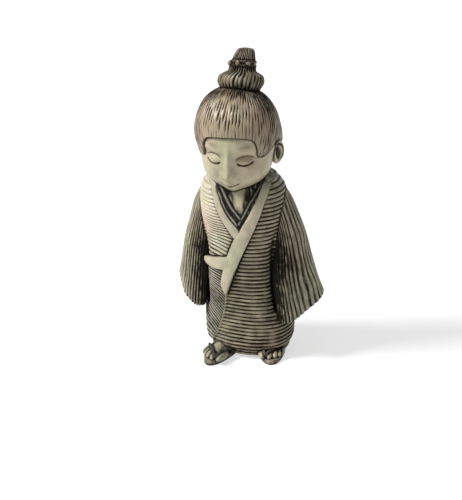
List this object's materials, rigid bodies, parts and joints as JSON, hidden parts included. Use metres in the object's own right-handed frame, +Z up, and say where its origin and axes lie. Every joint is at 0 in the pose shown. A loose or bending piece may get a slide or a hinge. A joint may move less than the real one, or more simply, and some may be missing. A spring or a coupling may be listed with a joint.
{
  "type": "figurine",
  "caption": "Small cast figurine of a standing child in a ribbed, wrapped robe with hanging sleeves, a ribbed topknot and thonged sandals.",
  "frame": {"origin": "on the ground under the middle of the figurine's bounding box", "axes": "+Z up, the child faces -Y and its left side is towards +X"},
  "size_m": [0.049, 0.0332, 0.1011],
  "materials": {
    "resin": "ivory-coloured resin, polished on its high places and stained dark brown in its grooves"
  },
  "bodies": {
    "root": {"figurine": "resin"}
  },
  "joints": []
}
